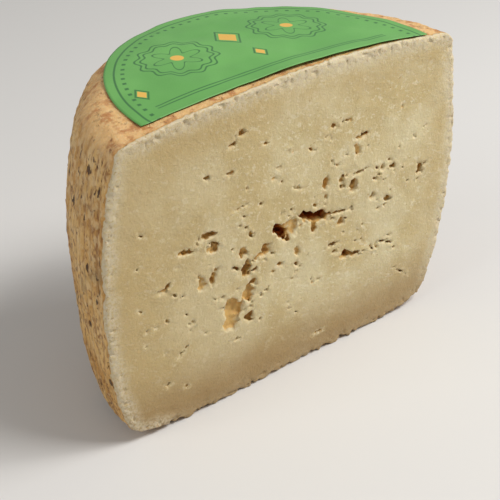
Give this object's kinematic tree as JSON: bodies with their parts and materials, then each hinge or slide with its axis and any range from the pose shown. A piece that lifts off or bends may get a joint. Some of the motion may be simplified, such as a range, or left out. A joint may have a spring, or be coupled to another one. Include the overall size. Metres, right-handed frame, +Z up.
{
  "type": "half wheel of hard cheese",
  "caption": "Half wheel of basket-formed hard cheese with a flat cut face, rounded rind side and a thin half-round paper label on its top.",
  "frame": {"origin": "middle of the foot's bounding box, on the surface the cheese stands on", "axes": "+Z up; the flat cut face looks towards -Y and X runs along it; the rounded rind side is towards +Y"},
  "size_m": [0.1922, 0.0932, 0.1438],
  "materials": {
    "cheese": "matt, slightly moist crumbly paste with a dry brown rind",
    "label": "satin printed paper"
  },
  "bodies": {
    "root": {"cheese": "cheese", "label": "label"}
  },
  "joints": []
}
